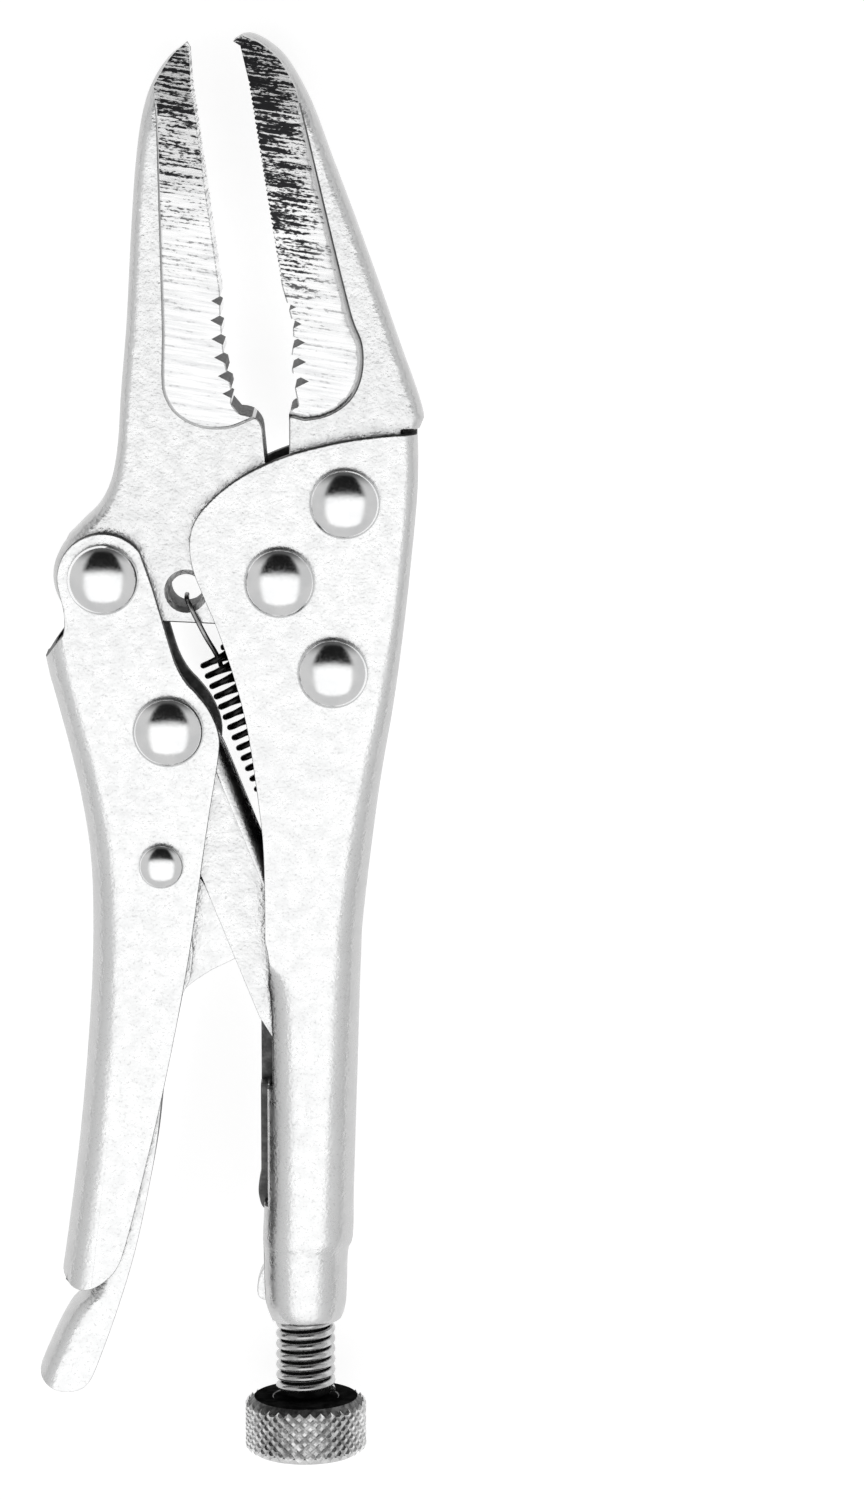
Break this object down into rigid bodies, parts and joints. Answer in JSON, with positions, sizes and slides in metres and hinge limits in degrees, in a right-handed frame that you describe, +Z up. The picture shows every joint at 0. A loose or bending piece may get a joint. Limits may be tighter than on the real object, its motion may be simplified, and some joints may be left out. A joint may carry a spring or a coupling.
{
  "type": "locking pliers",
  "caption": "Long-nose locking pliers: forged jaws in folded sheet-steel handles, with a toggle link, a release lever, a spring and a knurled adjusting screw.",
  "frame": {"origin": "middle of the bottom of the bounding box, on the surface that the pliers lie on", "axes": "+Y towards the jaw tips, +X from the lever handle to the frame handle, +Z up through the tool's thickness"},
  "size_m": [0.0448, 0.1654, 0.0156],
  "materials": {
    "plated_steel": "satin nickel plate, fine pebbled",
    "forged_steel": "satin nickel plate on forged steel, sides ground across",
    "rivet_steel": "polished domed head",
    "spring_steel": "black spring wire",
    "screw_steel": "dark oiled thread",
    "knob_steel": "diamond knurled"
  },
  "bodies": {
    "frame": {"frame_handle": "plated_steel", "fixed_jaw": "forged_steel", "upper_jaw_rivet": "rivet_steel", "lower_jaw_rivet": "rivet_steel", "tension_spring": "spring_steel"},
    "jaw_pivot": {"jaw_pivot_rivet": "rivet_steel"},
    "jaw": {"moving_jaw": "forged_steel"},
    "lever_pivot": {"lever_pivot_rivet": "rivet_steel"},
    "lever": {"lever_handle": "plated_steel", "link_pivot_rivet": "rivet_steel", "release_pivot_rivet": "rivet_steel"},
    "link": {"toggle_link": "plated_steel"},
    "release": {"release_lever": "plated_steel"},
    "screw_slide": {"screw_nose": "screw_steel"},
    "screw": {"adjusting_screw": "screw_steel", "knurled_knob": "knob_steel"}
  },
  "joints": [
    {"name": "jaw_adjust", "type": "hinge", "parent": "frame", "child": "jaw_pivot", "pos_m": [0.006, 0.021, 0.0078], "axis": [0, 0, 1], "range_deg": [-4.5, 7.2]},
    {"name": "jaw_swing", "type": "hinge", "parent": "jaw_pivot", "child": "jaw", "pos_m": [0.006, 0.021, 0.0078], "axis": [0, 0, 1], "range_deg": [0, 6.1], "deforming": ["tension_spring"]},
    {"name": "lever_adjust", "type": "hinge", "parent": "jaw", "child": "lever_pivot", "pos_m": [-0.0141, 0.0213, 0.0078], "axis": [0, 0, 1], "range_deg": [-7.2, 4.5]},
    {"name": "lever_swing", "type": "hinge", "parent": "lever_pivot", "child": "lever", "pos_m": [-0.0141, 0.0213, 0.0078], "axis": [0, 0, 1], "range_deg": [-30, 0]},
    {"name": "link_swing", "type": "hinge", "parent": "lever", "child": "link", "pos_m": [-0.0068, 0.0038, 0.0078], "axis": [0, 0, 1], "range_deg": [0, 36]},
    {"name": "release_swing", "type": "hinge", "parent": "lever", "child": "release", "pos_m": [-0.0077, -0.0118, 0.0078], "axis": [0, 0, 1], "range_deg": [0, 7]},
    {"name": "screw_advance", "type": "slide", "parent": "frame", "child": "screw_slide", "axis": [0, 1, 0], "range_m": [-0.00251, 0.00157]},
    {"name": "knob_turn", "type": "hinge", "parent": "screw_slide", "child": "screw", "pos_m": [0.0085, -0.07, 0.0078], "axis": [0, 1, 0], "range_deg": [-720, 450]}
  ],
  "couplings": [
    {"joint": "jaw_adjust", "follows": "knob_turn", "ratio": -0.0098976},
    {"joint": "lever_adjust", "follows": "knob_turn", "ratio": 0.0098976},
    {"joint": "screw_advance", "follows": "knob_turn", "m_per_rad": 0.00019894},
    {"joint": "jaw_swing", "follows": "lever_swing", "ratio": -0.2},
    {"joint": "link_swing", "follows": "lever_swing", "ratio": -1.195}
  ]
}
